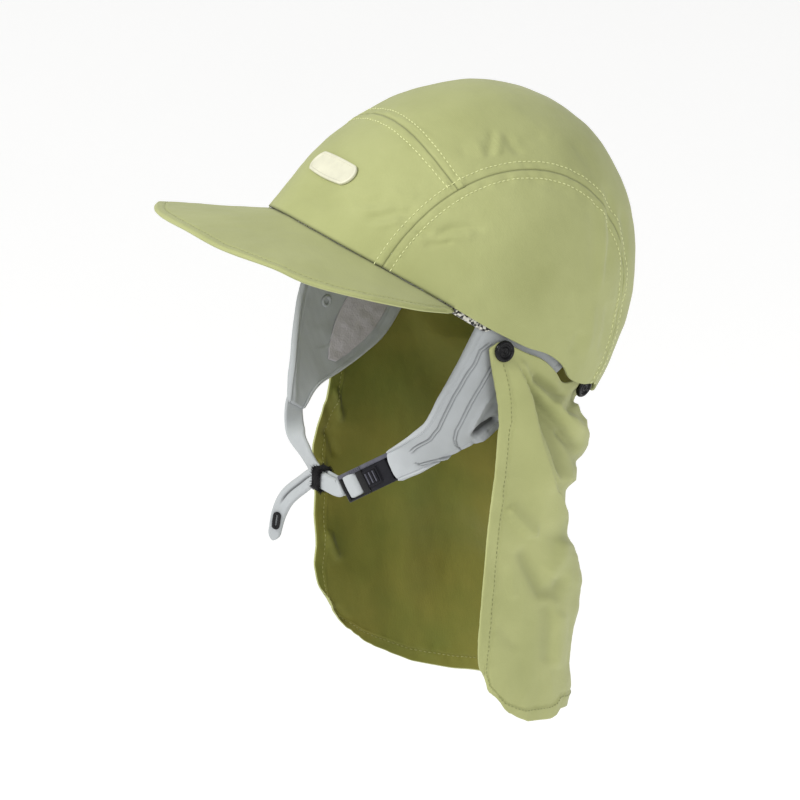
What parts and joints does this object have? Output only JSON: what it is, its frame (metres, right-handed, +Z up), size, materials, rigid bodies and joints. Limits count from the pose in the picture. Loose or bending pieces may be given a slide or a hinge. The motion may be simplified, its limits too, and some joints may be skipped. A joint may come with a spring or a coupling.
{
  "type": "legionnaire cap",
  "caption": "Sun cap with a stiff curved peak, soft ear panels with a buckled chin strap, and a long neck flap hung from press snaps.",
  "frame": {"origin": "middle of the head opening, in the plane of the crown's rim", "axes": "+Z up as worn, the peak points to -Y, the wearer's left side is +X"},
  "size_m": [0.1759, 0.255, 0.3376],
  "materials": {
    "green_cloth": "matt woven nylon",
    "flap_cloth": "matt woven nylon",
    "grey_stretch": "matt knitted stretch cloth",
    "grey_mesh": "matt thin knit",
    "sweatband_cloth": "matt speckled knit",
    "black_plastic": "moulded, half gloss",
    "slate_plastic": "moulded, satin",
    "black_elastic": "matt woven elastic",
    "cream_rubber": "moulded, matt"
  },
  "bodies": {
    "root": {"crown_front_panel": "green_cloth", "crown_top_panel": "green_cloth", "crown_side_panel_left": "green_cloth", "crown_side_panel_right": "green_cloth", "peak": "green_cloth", "front_badge": "cream_rubber", "sweatband": "sweatband_cloth", "ear_panel_left": "grey_stretch", "ear_panel_right": "grey_stretch", "ear_pocket_left": "grey_mesh", "ear_pocket_right": "grey_mesh", "ear_eyelet_left": "grey_mesh", "ear_eyelet_right": "grey_mesh", "snap_left_front": "black_plastic", "snap_left_back": "black_plastic", "snap_back": "black_plastic", "snap_right_back": "black_plastic", "snap_right_front": "black_plastic", "neck_flap": "flap_cloth", "buckle_socket": "slate_plastic", "buckle_prong": "black_plastic", "strap_loop_left": "grey_stretch", "strap_loop_right": "grey_stretch", "strap_keeper": "black_elastic", "chin_strap_right": "grey_stretch", "strap_tail": "grey_stretch", "tail_eyelet": "black_plastic"}
  },
  "joints": []
}
